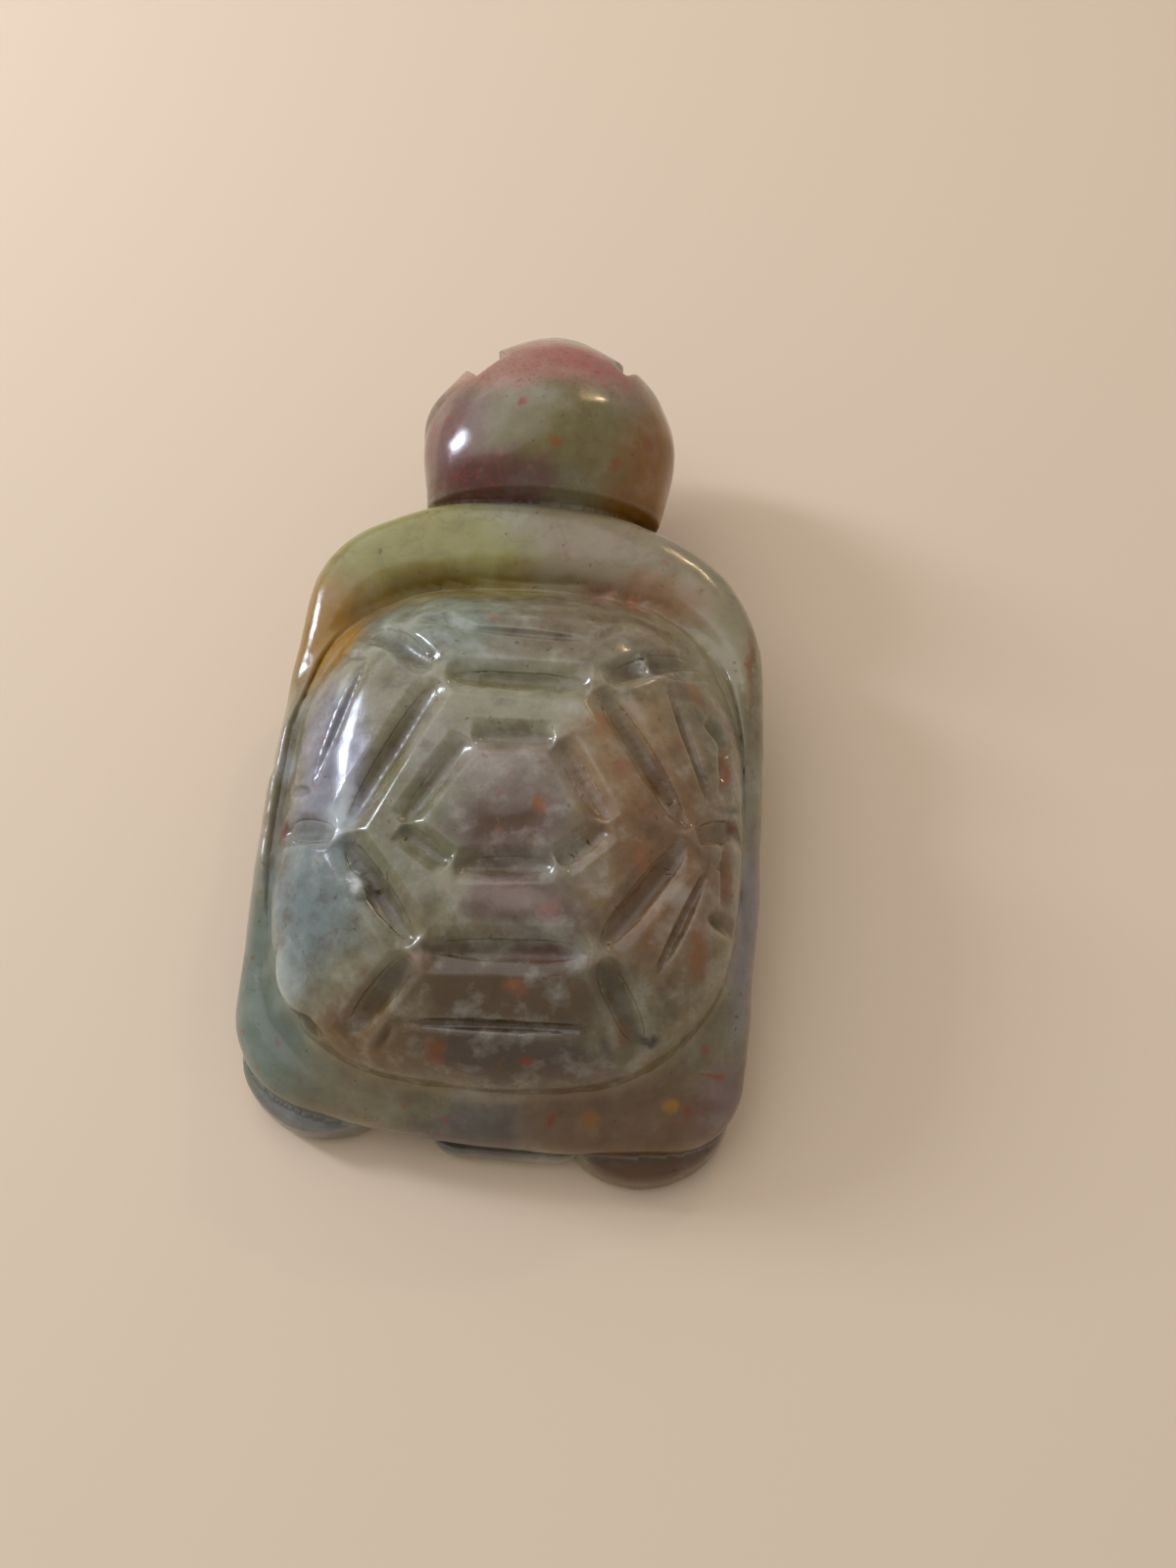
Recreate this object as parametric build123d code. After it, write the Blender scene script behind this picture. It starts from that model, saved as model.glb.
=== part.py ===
# Carved stone turtle ornament, in millimetres. +Y points towards the head and +Z up.
# The shell leans back: its front is higher than its rear. The forms of the carving meet face to face.
from build123d import *

import os
from math import atan2, cos, degrees, pi, radians, sin, tan

# Shell rim: the thick rolled margin. Its corners were shaped by hand and differ a little.
shell_height = 10.6
shell_tilt_degrees = 8.0
rim_front_left_length = 31.0
rim_front_right_length = 27.0
rim_front_crown_length = 40.0
rim_rear_left_length = 32.6
rim_rear_right_length = 35.6
rim_rear_crown_length = 36.9
rim_front_left_width = 26.2
rim_front_right_width = 28.0
rim_rear_left_width = 27.2
rim_rear_right_width = 26.6
rim_side_bow = 1.0
rim_front_left_corner = 12.0
rim_front_right_corner = 18.0
rim_rear_left_corner = 11.0
rim_rear_right_corner = 8.0
rim_below = 3.0
rim_above = 3.9
collar_rise_degrees = 2.0
rim_top_rounding = 3.2
rim_bottom_rounding = 2.5

# Carapace: the dome inside the rim.
dome_half_width = 25.6
dome_half_length = 29.6
dome_height = 13.0
dome_right_shift = 0.4
dome_back_shift = 2.2
dome_crease_height = 2.6
dome_root_depth = 1.2
dome_plan_roundness_share = 0.66
dome_profile_roundness_share = 0.84
dome_level_shares = (0.0, 0.2, 0.4, 0.58, 0.74, 0.86, 0.94, 0.98, 0.997)
outline_point_count = 24
slope_step_share = 0.01
moat_width = 2.0
moat_level_shares = (0.0, 0.25, 0.5, 0.75, 1.1)
moat_width_shares = (0.02, 0.2, 0.45, 0.8, 1.4)

# Scutes: two nested hexagons whose side corners lie far back, and the directions of the cuts from their corners.
# Corners run from the right one over the front to the left and back over the rear.
hexagon_right_shift_share = 0.043
hexagon_back_shift_share = 0.159
inner_hexagon_width_share = 0.406
inner_hexagon_length_share = 0.233
inner_corner_shares = ((0.97, -0.16), (0.41, 1.13), (-0.47, 1.09), (-1.06, -0.4), (-0.52, -0.96), (0.5, -0.84))
outer_hexagon_width_share = 0.711
outer_hexagon_length_share = 0.486
outer_corner_shares = ((1.03, -0.06), (0.43, 1.01), (-0.48, 1.01), (-0.95, -0.24), (-0.44, -1.03), (0.53, -0.98))
radial_foot_degrees = (-1.0, 43.0, 132.0, 188.0, 241.0, 302.0)
groove_flank_depth_share = 0.55
groove_flank_spread_share = 0.575
groove_floor_width = 0.5
groove_sweep_share = 1.3
hexagon_dip = 0.45
radial_dip = 0.5
cell_dip = 0.4
hexagon_end_share = 0.04
radial_start_share = 0.07
radial_end_share = 0.8
cell_near_shares = (0.46, 0.6, 0.58, 0.6, 0.68, 0.62)
cell_side_shares = (0.1, 0.26, 0.17, 0.2, 0.13, 0.2)
cell_far_share = 0.93
cell_carved_shares = (1, 1, 1, 0, 1, 1)

# Belly plate.
belly_clearance = 1.6
belly_half_width = 21.5
belly_half_length = 29.5
belly_corner = 9.0
belly_bottom_rounding = 2.0

# Head: ovals along its length, from the neck to the tip of the snout.
head_rear = 37.4
head_length = 28.8
head_right_shift = 0.6
head_centre_height = 17.6
head_half_width = 16.1
head_half_height = 11.4
snout_drop = 1.2
snout_drop_power = 4
head_station_shares = (0.0, 0.04, 0.1, 0.18, 0.28, 0.4, 0.56, 0.7, 0.81, 0.89, 0.95, 1.0)
head_width_shares = (0.9, 0.91, 0.93, 0.955, 0.985, 1.0, 0.95, 0.83, 0.66, 0.52, 0.4, 0.2)
head_height_shares = (0.52, 0.64, 0.77, 0.88, 0.97, 1.0, 0.96, 0.87, 0.73, 0.6, 0.46, 0.22)
head_widest_share = 0.4
cheek_station_share = 0.86
cheek_cut_lean_degrees = 32.0
notch_turn_degrees = 45.0
left_cheek_cut_depth = 3.4
right_cheek_cut_depth = 1.7
mouth_drop = 3.6
mouth_cut_width = 0.9
mouth_core_share = 0.91
mouth_reach_share = 0.7
eye_gap = 0.9
eye_raise_degrees = 8.0
eye_radius = 2.2
eye_ring_width = 0.7
eye_depth = 0.7
nostril_radius = 0.5
nostril_depth = 1.4
nostril_side = 1.6
nostril_raise = 0.9

# Neck.
neck_half_width = 13.4
neck_half_height = 6.0
neck_root_forward = 27.0
neck_root_height = 9.2

# Legs: stout, with flat soles; the front ones have three toe cuts each. The rear right leg stands further back.
rear_left_leg_side = 18.2
rear_right_leg_side = 17.2
rear_left_leg_back = 28.4
rear_right_leg_back = 31.4
rear_leg_half_width = 9.0
rear_leg_half_length = 7.4
rear_leg_turn_degrees = 18.0
front_leg_side = 17.4
front_leg_forward = 22.5
front_leg_half_width = 7.6
front_leg_half_length = 9.2
front_leg_turn_degrees = 24.0
leg_taper_degrees = 5.0
leg_sole_rounding = 1.2
leg_tuck = 1.4
toe_cut_width = 1.8
toe_cut_depth = 1.6
toe_cut_lean_degrees = 20.0
toe_spread_degrees = 27.0

# Tail: a short flat lobe under the rim's rear edge.
tail_right_shift = 2.6
tail_half_width = 8.6
tail_back = 36.8
tail_length = 12.0
tail_thickness = 2.4
tail_lift = 0.5
tail_corner = 3.6
tail_rounding = 0.8

# Cutting shapes run past what they cut by this much.
overrun = 6.0


def shell_place(shape):
    """Tilt a shape made in the shell's own level frame and lift it to its height."""
    return Location((0, 0, shell_height), (shell_tilt_degrees, 0, 0)) * shape


def block_above(height):
    """A block wider than the shell, whose underside lies at a height in the shell's frame."""
    side = 4 * rim_rear_crown_length
    return Pos(0, 0, height + side / 2) * Box(side, side, side)


def oval_point(half_width, half_length, roundness_share, angle):
    """A point of a soft-cornered oval, at an angle about its centre."""
    power = 2 / roundness_share
    across = abs(cos(angle) / half_width) ** power
    along = abs(sin(angle) / half_length) ** power
    reach = (across + along) ** (-1 / power)
    return (reach * cos(angle), reach * sin(angle))


def dome_oval(half_width, half_length, height):
    """A flat face with the dome's plan shape."""
    points = []
    for step in range(outline_point_count):
        angle = 2 * pi * step / outline_point_count
        x, y = oval_point(half_width, half_length, dome_plan_roundness_share, angle)
        points.append(Vector(dome_right_shift + x, y - dome_back_shift, height))
    return Face(Wire([Edge.make_spline(points, periodic=True)]))


def dome_skin(x, y):
    """The point of the dome's skin above a place in the shell's plane."""
    power = 2 / dome_plan_roundness_share
    across = abs((x - dome_right_shift) / dome_half_width) ** power
    along = abs((y + dome_back_shift) / dome_half_length) ** power
    radius_share = min((across + along) ** (1 / power), 1.0)
    profile = 2 / dome_profile_roundness_share
    rise = dome_height * (1 - radius_share**profile) ** (1 / profile)
    return Vector(x, y, dome_crease_height + rise)


def dome_normal(x, y):
    """Outward direction of the dome's skin, from the slope over a small step."""
    step = dome_half_width * slope_step_share
    slope_x = (dome_skin(x + step, y) - dome_skin(x - step, y)).Z
    slope_y = (dome_skin(x, y + step) - dome_skin(x, y - step)).Z
    return Vector(-slope_x, -slope_y, 2 * step).normalized()


def make_dome():
    """The dome without its cuts: ovals that narrow towards the top, on a short straight root."""
    ovals = [dome_oval(dome_half_width, dome_half_length, dome_crease_height - dome_root_depth)]
    profile = 2 / dome_profile_roundness_share
    for share in dome_level_shares:
        narrowing = (1 - share**profile) ** (1 / profile)
        height = dome_crease_height + dome_height * share
        ovals.append(dome_oval(dome_half_width * narrowing, dome_half_length * narrowing, height))
    return loft(ovals)


def make_moat():
    """The hollow between the dome's foot and the rolled rim, which widens as it rises."""
    ovals = []
    collar_top = rim_above + rim_front_crown_length * tan(radians(collar_rise_degrees))
    for level_share, width_share in zip(moat_level_shares, moat_width_shares):
        width = moat_width * width_share
        height = dome_crease_height + (collar_top - dome_crease_height) * level_share
        ovals.append(dome_oval(dome_half_width + width, dome_half_length + width, height))
    return loft(ovals)


def groove(start, end, dip):
    """What a V-edged wheel takes away: its edge passes both ends and dips below the line between them."""
    first = dome_skin(*start)
    last = dome_skin(*end)
    middle = (first + last) * 0.5
    half = (last - first).length / 2
    along = (last - first).normalized()
    normal = dome_normal(middle.X, middle.Y)
    outward = (normal - along * normal.dot(along)).normalized()
    # The wheel's radius, from the chord that it cuts and how far it dips below it.
    wheel_radius = (half**2 + dip**2) / (2 * dip)
    centre = middle + outward * (wheel_radius - dip)
    floor = groove_floor_width / 2
    flank_depth = half * groove_flank_depth_share
    flare = floor + flank_depth * groove_flank_spread_share
    flank = flank_depth - wheel_radius
    edge = Polyline((-wheel_radius, -floor), (flank, -flare), (flank, flare), (-wheel_radius, floor), close=True)
    section = Plane(origin=centre, x_dir=outward, z_dir=along) * make_face(edge)
    spin = Axis(centre, outward.cross(along))
    sweep_degrees = groove_sweep_share * 2 * degrees(atan2(half, wheel_radius - dip))
    return revolve(section.rotate(spin, -sweep_degrees / 2), axis=spin, revolution_arc=sweep_degrees)


def between(start, end, share):
    return (start[0] + (end[0] - start[0]) * share, start[1] + (end[1] - start[1]) * share)


def hexagon(width_share, length_share, corner_shares):
    """Corners of a scute, placed and sized from the dome."""
    corners = []
    for across, along in corner_shares:
        x = dome_half_width * (hexagon_right_shift_share + width_share * across)
        y = dome_half_length * (length_share * along - hexagon_back_shift_share)
        corners.append((x, y))
    return corners


def make_grooves():
    """The cuts of both hexagons, from the outer corners to the foot, and three in each cell but the rear left one."""
    inner = hexagon(inner_hexagon_width_share, inner_hexagon_length_share, inner_corner_shares)
    outer = hexagon(outer_hexagon_width_share, outer_hexagon_length_share, outer_corner_shares)
    feet = []
    for angle in radial_foot_degrees:
        x, y = oval_point(dome_half_width, dome_half_length, dome_plan_roundness_share, radians(angle))
        feet.append((dome_right_shift + x, y - dome_back_shift))
    cuts = []
    for corners in (inner, outer):
        for corner, following in zip(corners, corners[1:] + corners[:1]):
            start = between(corner, following, hexagon_end_share)
            end = between(following, corner, hexagon_end_share)
            cuts.append(groove(start, end, hexagon_dip))
    for corner, foot in zip(outer, feet):
        start = between(corner, foot, radial_start_share)
        end = between(corner, foot, radial_end_share)
        cuts.append(groove(start, end, radial_dip))
    for index in range(len(outer)):
        if not cell_carved_shares[index]:
            continue
        following = (index + 1) % len(outer)
        near = between(outer[index], feet[index], cell_near_shares[index])
        next_near = between(outer[following], feet[following], cell_near_shares[index])
        far = between(outer[index], feet[index], cell_far_share)
        next_far = between(outer[following], feet[following], cell_far_share)
        first = between(near, next_near, cell_side_shares[index])
        last = between(next_near, near, cell_side_shares[index])
        cuts.append(groove(first, last, cell_dip))
        cuts.append(groove(first, between(far, next_far, cell_side_shares[index]), cell_dip))
        cuts.append(groove(last, between(next_far, far, cell_side_shares[index]), cell_dip))
    return cuts


def rim_outline():
    """The rim's plan: four bowed sides with rounded corners."""
    front_left = (-rim_front_left_width, rim_front_left_length)
    front_right = (rim_front_right_width, rim_front_right_length)
    rear_left = (-rim_rear_left_width, -rim_rear_left_length)
    rear_right = (rim_rear_right_width, -rim_rear_right_length)
    left_crown = between(front_left, rear_left, 0.5)
    right_crown = between(front_right, rear_right, 0.5)
    sides = Curve() + [
        ThreePointArc(rear_left, (0, -rim_rear_crown_length), rear_right),
        ThreePointArc(rear_right, (right_crown[0] + rim_side_bow, right_crown[1]), front_right),
        ThreePointArc(front_right, (0, rim_front_crown_length), front_left),
        ThreePointArc(front_left, (left_crown[0] - rim_side_bow, left_crown[1]), rear_left),
    ]
    face = make_face(sides)
    for corner, rounding in (
        (rear_left, rim_rear_left_corner),
        (rear_right, rim_rear_right_corner),
        (front_left, rim_front_left_corner),
        (front_right, rim_front_right_corner),
    ):
        place = Vector(*corner)
        nearest = face.vertices().sort_by(lambda vertex: (Vector(vertex) - place).length)[0]
        face = fillet(nearest, rounding)
    return face


def make_slab():
    """The rim before the dome is let into it: a thick plate with rolled edges, thicker in front."""
    slab = Pos(0, 0, -rim_below) * extrude(rim_outline(), rim_below + 2 * rim_above)
    slab -= Rot(collar_rise_degrees, 0, 0) * block_above(rim_above)
    slab = fillet(slab.faces().sort_by(Axis.Z)[-1].edges(), rim_top_rounding)
    return fillet(slab.faces().sort_by(Axis.Z)[0].edges(), rim_bottom_rounding)


def make_belly():
    plan = RectangleRounded(2 * belly_half_width, 2 * belly_half_length, belly_corner)
    belly = Pos(0, 0, belly_clearance) * extrude(plan, 2 * shell_height)
    belly = fillet(belly.faces().sort_by(Axis.Z)[0].edges(), belly_bottom_rounding)
    return belly - shell_place(block_above(-rim_below))


def head_centre(station_share):
    """Centre of the head's oval at a share of its length; it sinks towards the snout."""
    drop = snout_drop * station_share**snout_drop_power
    return Vector(head_right_shift, head_rear + head_length * station_share, head_centre_height - drop)


def head_half_sizes(station_share):
    """Half width and half height of the head at a share of its length, between its listed stations."""
    stations = list(zip(head_station_shares, head_width_shares, head_height_shares))
    for before, after in zip(stations, stations[1:]):
        if before[0] <= station_share <= after[0]:
            share = (station_share - before[0]) / (after[0] - before[0])
            width = before[1] + (after[1] - before[1]) * share
            height = before[2] + (after[2] - before[2]) * share
    return (head_half_width * width, head_half_height * height)


def make_head():
    ovals = []
    for station_share in head_station_shares:
        half_width, half_height = head_half_sizes(station_share)
        plane = Plane(origin=head_centre(station_share), x_dir=(1, 0, 0), z_dir=(0, 1, 0))
        ovals.append(plane * Ellipse(half_width, half_height))
    skull = loft(ovals)
    middle = head_centre(0.5)
    core = Pos(*middle) * scale(Pos(*(middle * -1)) * skull, by=mouth_core_share)
    plate = Box(2 * head_half_width, head_length, mouth_cut_width, align=(Align.CENTER, Align.MIN, Align.CENTER))
    place = Pos(head_right_shift, head_rear + head_length * mouth_reach_share, head_centre_height - mouth_drop)
    head = skull - (place * plate - core)
    for side, depth in ((-1, left_cheek_cut_depth), (1, right_cheek_cut_depth)):
        half_width, _ = head_half_sizes(cheek_station_share)
        spot = head_centre(cheek_station_share)
        side_length = depth * 2**0.5
        notch = Rot(0, 0, notch_turn_degrees) * Box(side_length, side_length, 3 * head_half_height)
        head -= Location((spot.X + side * half_width, spot.Y, spot.Z), (cheek_cut_lean_degrees, 0, 0)) * notch
        head -= eye_ring(side)
        nose = head_centre(1) + Vector(side * nostril_side, -nostril_depth, nostril_raise)
        head -= Location(nose, (-90, 0, 0)) * Cylinder(
            nostril_radius, overrun, align=(Align.CENTER, Align.CENTER, Align.MIN)
        )
    return head


def eye_ring(side):
    """A round groove on the face, square to the skin where it is cut."""
    behind_cut = (left_cheek_cut_depth + eye_radius + eye_gap) / head_length
    station_share = cheek_station_share - behind_cut
    half_width, half_height = head_half_sizes(station_share)
    raised = radians(eye_raise_degrees)
    centre = head_centre(station_share)
    spot = centre + Vector(side * half_width * cos(raised), 0, half_height * sin(raised))
    forward = (centre - head_centre(head_widest_share)).Y / (head_length / 2) ** 2
    outward = Vector(side * cos(raised) / half_width, forward, sin(raised) / half_height)
    tube = Cylinder(eye_radius, 2 * eye_depth) - Cylinder(eye_radius - eye_ring_width, 2 * eye_depth)
    return Plane(origin=spot, z_dir=outward) * tube


def make_neck():
    """An oval neck from inside the belly's front up into the middle of the head."""
    root = Vector(head_right_shift / 2, neck_root_forward, neck_root_height)
    reach = head_centre(head_widest_share) - root
    plane = Plane(origin=root, x_dir=(1, 0, 0), z_dir=reach)
    return extrude(plane * Ellipse(neck_half_width, neck_half_height), reach.length)


def make_leg(half_width, half_length):
    """A stout leg that tapers upwards, on a flat sole."""
    body = extrude(Ellipse(half_width, half_length), 2 * shell_height, taper=leg_taper_degrees)
    return fillet(body.faces().sort_by(Axis.Z)[0].edges(), leg_sole_rounding)


def cut_toes(leg, half_width, half_length):
    """The leg with three upright cuts in its front."""
    long = toe_cut_depth + overrun
    flare = toe_cut_width / 2 * long / toe_cut_depth
    notch = make_face(Polyline((0, 0), (long, -flare), (long, flare), close=True))
    for turn_degrees in (-toe_spread_degrees, 0, toe_spread_degrees):
        reach = Vector(*oval_point(half_width, half_length, 1, radians(90 + turn_degrees))).length
        wedge = Pos(0, 0, -overrun) * extrude(notch, 2 * shell_height)
        wedge = Pos(reach - toe_cut_depth, 0, 0) * Rot(0, toe_cut_lean_degrees, 0) * wedge
        leg -= Rot(0, 0, 90 + turn_degrees) * wedge
    return leg


def make_tail():
    body = Box(2 * tail_half_width, tail_length, tail_thickness, align=(Align.CENTER, Align.MIN, Align.MIN))
    body = fillet(body.edges().filter_by(Axis.Z).group_by(Axis.Y)[0], tail_corner)
    body = fillet(body.faces().sort_by(Axis.Z)[0].edges().group_by(Axis.Y)[0], tail_rounding)
    return Pos(tail_right_shift, -tail_back, tail_lift) * body


def make_nodes():
    dome = make_dome()
    slab = make_slab()
    carapace = dome - make_grooves()
    placed_slab = shell_place(slab)
    belly = make_belly()
    head = make_head() - placed_slab
    under_shell = shell_place(block_above(-rim_below))
    nodes = {
        "carapace": shell_place(carapace),
        "shell_rim": shell_place(slab - make_moat() - dome),
        "belly": belly,
        "head": head,
        "neck": make_neck() - under_shell - belly - head,
    }
    leg_limit = shell_place(block_above(leg_tuck - rim_below))
    rear = make_leg(rear_leg_half_width, rear_leg_half_length)
    front = make_leg(front_leg_half_width, front_leg_half_length)
    front = cut_toes(front, front_leg_half_width, front_leg_half_length)
    for name, side, rear_side, rear_back in (
        ("left", -1, rear_left_leg_side, rear_left_leg_back),
        ("right", 1, rear_right_leg_side, rear_right_leg_back),
    ):
        back_place = Location((side * rear_side, -rear_back, 0), (0, 0, side * rear_leg_turn_degrees))
        front_place = Location((side * front_leg_side, front_leg_forward, 0), (0, 0, -side * front_leg_turn_degrees))
        nodes["rear_" + name + "_leg"] = back_place * rear - leg_limit - placed_slab - belly
        nodes["front_" + name + "_leg"] = front_place * front - leg_limit - placed_slab - belly
    tail = make_tail() - placed_slab - belly
    for name in ("left", "right"):
        tail -= nodes["rear_" + name + "_leg"]
    nodes["tail"] = tail
    return nodes


def main():
    os.makedirs("parts", exist_ok=True)
    nodes = make_nodes()
    solids = []
    for shape in nodes.values():
        solids.extend(shape.solids())
    box = Compound(solids).bounding_box()
    middle = box.center()
    print("overall size", box.size, "moved by", -middle.X, -middle.Y)
    for name, shape in nodes.items():
        export_step(Pos(-middle.X, -middle.Y, 0) * shape, "parts/" + name + ".step")


if __name__ == "__main__":
    main()
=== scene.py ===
import math

import bpy
import numpy as np
from mathutils import Matrix, Vector, noise
from mathutils.bvhtree import BVHTree


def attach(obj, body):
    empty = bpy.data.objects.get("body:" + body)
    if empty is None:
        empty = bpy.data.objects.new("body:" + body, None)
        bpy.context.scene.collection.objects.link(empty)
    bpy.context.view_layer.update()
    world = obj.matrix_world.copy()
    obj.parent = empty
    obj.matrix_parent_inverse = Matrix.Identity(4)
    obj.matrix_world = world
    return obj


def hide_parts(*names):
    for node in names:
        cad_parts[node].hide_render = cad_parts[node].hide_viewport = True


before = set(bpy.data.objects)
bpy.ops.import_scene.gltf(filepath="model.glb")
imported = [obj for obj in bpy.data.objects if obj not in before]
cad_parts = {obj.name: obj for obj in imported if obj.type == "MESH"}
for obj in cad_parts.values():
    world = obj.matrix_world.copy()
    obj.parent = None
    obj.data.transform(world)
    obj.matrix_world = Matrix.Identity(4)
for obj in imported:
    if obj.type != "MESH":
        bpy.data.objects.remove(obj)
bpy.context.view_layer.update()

MM = 0.001

# Camera, floor and light

# The camera looks down from behind the turtle: up from straight down, then turned and rolled.
CAMERA_PLACE = (10.655, -75.595, 130.0)
CAMERA_TURN_DEGREES = 2.2
CAMERA_PITCH_DEGREES = 29.0192
CAMERA_ROLL_DEGREES = 1.6454
CAMERA_NEAR_MM = 5.0
LENS_MM = 27.045
SENSOR_MM = 36.0
FLOOR_METRES = 1.6
# Each lamp: place and size in metres, watts and colour.
LAMPS = {
    "window_left": ((-0.46, 0.16, 0.27), (0.07, 0.16), 1.5, "#dfeaff"),
    "soft_box": ((-0.36, 0.26, 0.66), (0.9, 0.9), 2.5, "#f2f5ff"),
    "warm_lamp": ((0.20, 0.42, 0.40), (0.02, 0.02), 0.2, "#ffd9a6"),
}
ROOM_LIGHT = 0.5


def linear(code):
    """An sRGB hex colour as the linear colour that a shader works with."""
    shares = [int(code[place:place + 2], 16) / 255 for place in (1, 3, 5)]
    return tuple(s / 12.92 if s <= 0.04045 else ((s + 0.055) / 1.055) ** 2.4 for s in shares) + (1.0,)


def add(tree, kind, settings=None, **sockets):
    """One node with its settings. A socket takes a value or another node's output."""
    node = tree.nodes.new(kind)
    for name, value in (settings or {}).items():
        setattr(node, name, value)
    for key, value in sockets.items():
        place = int(key[1:]) if key[1:].isdigit() else key.replace("_", " ")
        socket = node.inputs[place]
        if isinstance(value, bpy.types.NodeSocket):
            tree.links.new(value, socket)
        else:
            socket.default_value = value
    return node


def make_camera():
    data = bpy.data.cameras.new("photo_view")
    data.sensor_width = SENSOR_MM
    data.lens = LENS_MM
    data.clip_start = CAMERA_NEAR_MM * MM
    camera = bpy.data.objects.new("photo_view", data)
    bpy.context.scene.collection.objects.link(camera)
    turn = Matrix.Rotation(math.radians(CAMERA_TURN_DEGREES), 4, "Z")
    pitch = Matrix.Rotation(math.radians(CAMERA_PITCH_DEGREES), 4, "X")
    roll = Matrix.Rotation(math.radians(CAMERA_ROLL_DEGREES), 4, "Z")
    aim = turn @ pitch @ roll
    camera.matrix_world = Matrix.Translation(Vector(CAMERA_PLACE) * MM) @ aim
    bpy.context.scene.camera = camera


def make_floor():
    bpy.ops.object.select_all(action="DESELECT")
    bpy.ops.mesh.primitive_plane_add(size=FLOOR_METRES, location=(0, 0, 0))
    floor = bpy.context.active_object
    floor.name = "floor"
    paper = bpy.data.materials.new("matt_paper_board")
    paper.use_nodes = True
    tree = paper.node_tree
    shader = tree.nodes["Principled BSDF"]
    shader.inputs["Base Color"].default_value = linear("#e6cfb4")
    shader.inputs["Roughness"].default_value = 0.9
    floor.data.materials.append(paper)


def add_lamp(name, place, size, watts, colour):
    data = bpy.data.lights.new(name, "AREA")
    data.shape = "RECTANGLE"
    data.size, data.size_y = size
    data.energy = watts
    data.color = linear(colour)[:3]
    lamp = bpy.data.objects.new(name, data)
    lamp.location = place
    lamp.rotation_euler = (-Vector(place)).to_track_quat("-Z", "Y").to_euler()
    bpy.context.scene.collection.objects.link(lamp)


def make_light():
    for name, (place, size, watts, colour) in LAMPS.items():
        add_lamp(name, place, size, watts, colour)
    world = bpy.data.worlds.new("studio")
    world.use_nodes = True
    tree = world.node_tree
    background = tree.nodes["Background"]
    path = add(tree, "ShaderNodeLightPath")
    seen = add(tree, "ShaderNodeMath", {"operation": "MAXIMUM"},
               _0=path.outputs["Is Camera Ray"], _1=path.outputs["Is Transmission Ray"])
    level = add(tree, "ShaderNodeMapRange", Value=seen.outputs[0], To_Min=ROOM_LIGHT, To_Max=1.0)
    background.inputs["Color"].default_value = linear("#eceae6")
    tree.links.new(level.outputs["Result"], background.inputs["Strength"])
    bpy.context.scene.world = world


# Carving

# Remesh size and smoothing rounds of each form, in mm and rounds.
FORMS = {
    "carapace": (0.25, 6),
    "shell_rim": (0.35, 14),
    "head": (0.22, 8),
    "neck": (0.3, 6),
    "tail": (0.25, 8),
    "belly": (0.45, 4),
    "front_left_leg": (0.25, 8),
    "front_right_leg": (0.25, 8),
    "rear_left_leg": (0.25, 8),
    "rear_right_leg": (0.25, 8),
}
# Each form runs a little way into the ones that it grows out of, so that no joint shows in the stone.
ROOTED_IN = {
    "carapace": ("shell_rim",),
    "head": ("shell_rim",),
    "neck": ("shell_rim", "head", "belly"),
    "tail": ("shell_rim", "belly", "rear_left_leg", "rear_right_leg"),
    "belly": ("shell_rim",),
    "front_left_leg": ("shell_rim", "belly"),
    "front_right_leg": ("shell_rim", "belly"),
    "rear_left_leg": ("shell_rim", "belly"),
    "rear_right_leg": ("shell_rim", "belly"),
}
# The dome's own frame: it leans back, and its cuts run between these corners, as shares of the scutes' sizes.
ROW_SHIFT = (-0.33, -13.671)
SHELL_HEIGHT = 10.6
SHELL_TILT_DEGREES = 8.0
DOME_HALF_WIDTH = 25.6
DOME_HALF_LENGTH = 29.6
DOME_ROUNDNESS = 0.66
DOME_RIGHT = 0.4
DOME_BACK = 2.2
DOME_FOOT_MM = 3.0
INNER_CORNERS = ((0.97, -0.16), (0.41, 1.13), (-0.47, 1.09), (-1.06, -0.4), (-0.52, -0.96), (0.5, -0.84))
OUTER_CORNERS = ((1.03, -0.06), (0.43, 1.01), (-0.48, 1.01), (-0.95, -0.24), (-0.44, -1.03), (0.53, -0.98))
RADIAL_DEGREES = (-1.0, 43.0, 132.0, 188.0, 241.0, 302.0)
# The cuts' two hexagons: centre in the shell's plane, half sizes, and each cut's half width and depth.
HEXAGON_CENTRE = (1.1, -4.71)
INNER_HALF_SIZES = (10.39, 6.9)
OUTER_HALF_SIZES = (18.2, 14.39)
INNER_CUT = (1.9, 0.8)
OUTER_CUT = (2.4, 1.0)
RADIAL_CUT = (2.0, 0.85)
CORNER_GAP_SHARE = 0.03
RADIAL_START_SHARE = 0.06
RADIAL_END_SHARE = 0.85
CUT_RUB_ROUNDS = 60
CUT_END_POWER = 8
# The slope of the front and the left flank: where it starts along and across the dome, and how far it falls.
FRONT_SLOPE_START = 4.0
FRONT_SLOPE_FADE = 14.0
LEFT_SLOPE_START = 6.0
LEFT_SLOPE_FADE = 12.0
LEFT_SLOPE_REAR = -16.0
LEFT_SLOPE_REAR_FADE = 10.0
LEFT_SLOPE_SHARE = 0.4
SLOPE_START_SHARE = 0.66
SLOPE_POWER = 1.4
SLOPE_FALL_SHARE = 0.5
# The joints between forms: how near a contact face is, how far it roots, and how deep the rim stays hidden.
CONTACT_MM = 0.3
FACING_AWAY = -0.5
ROOT_MM = 0.5
HIDDEN_MM = 0.35
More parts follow.
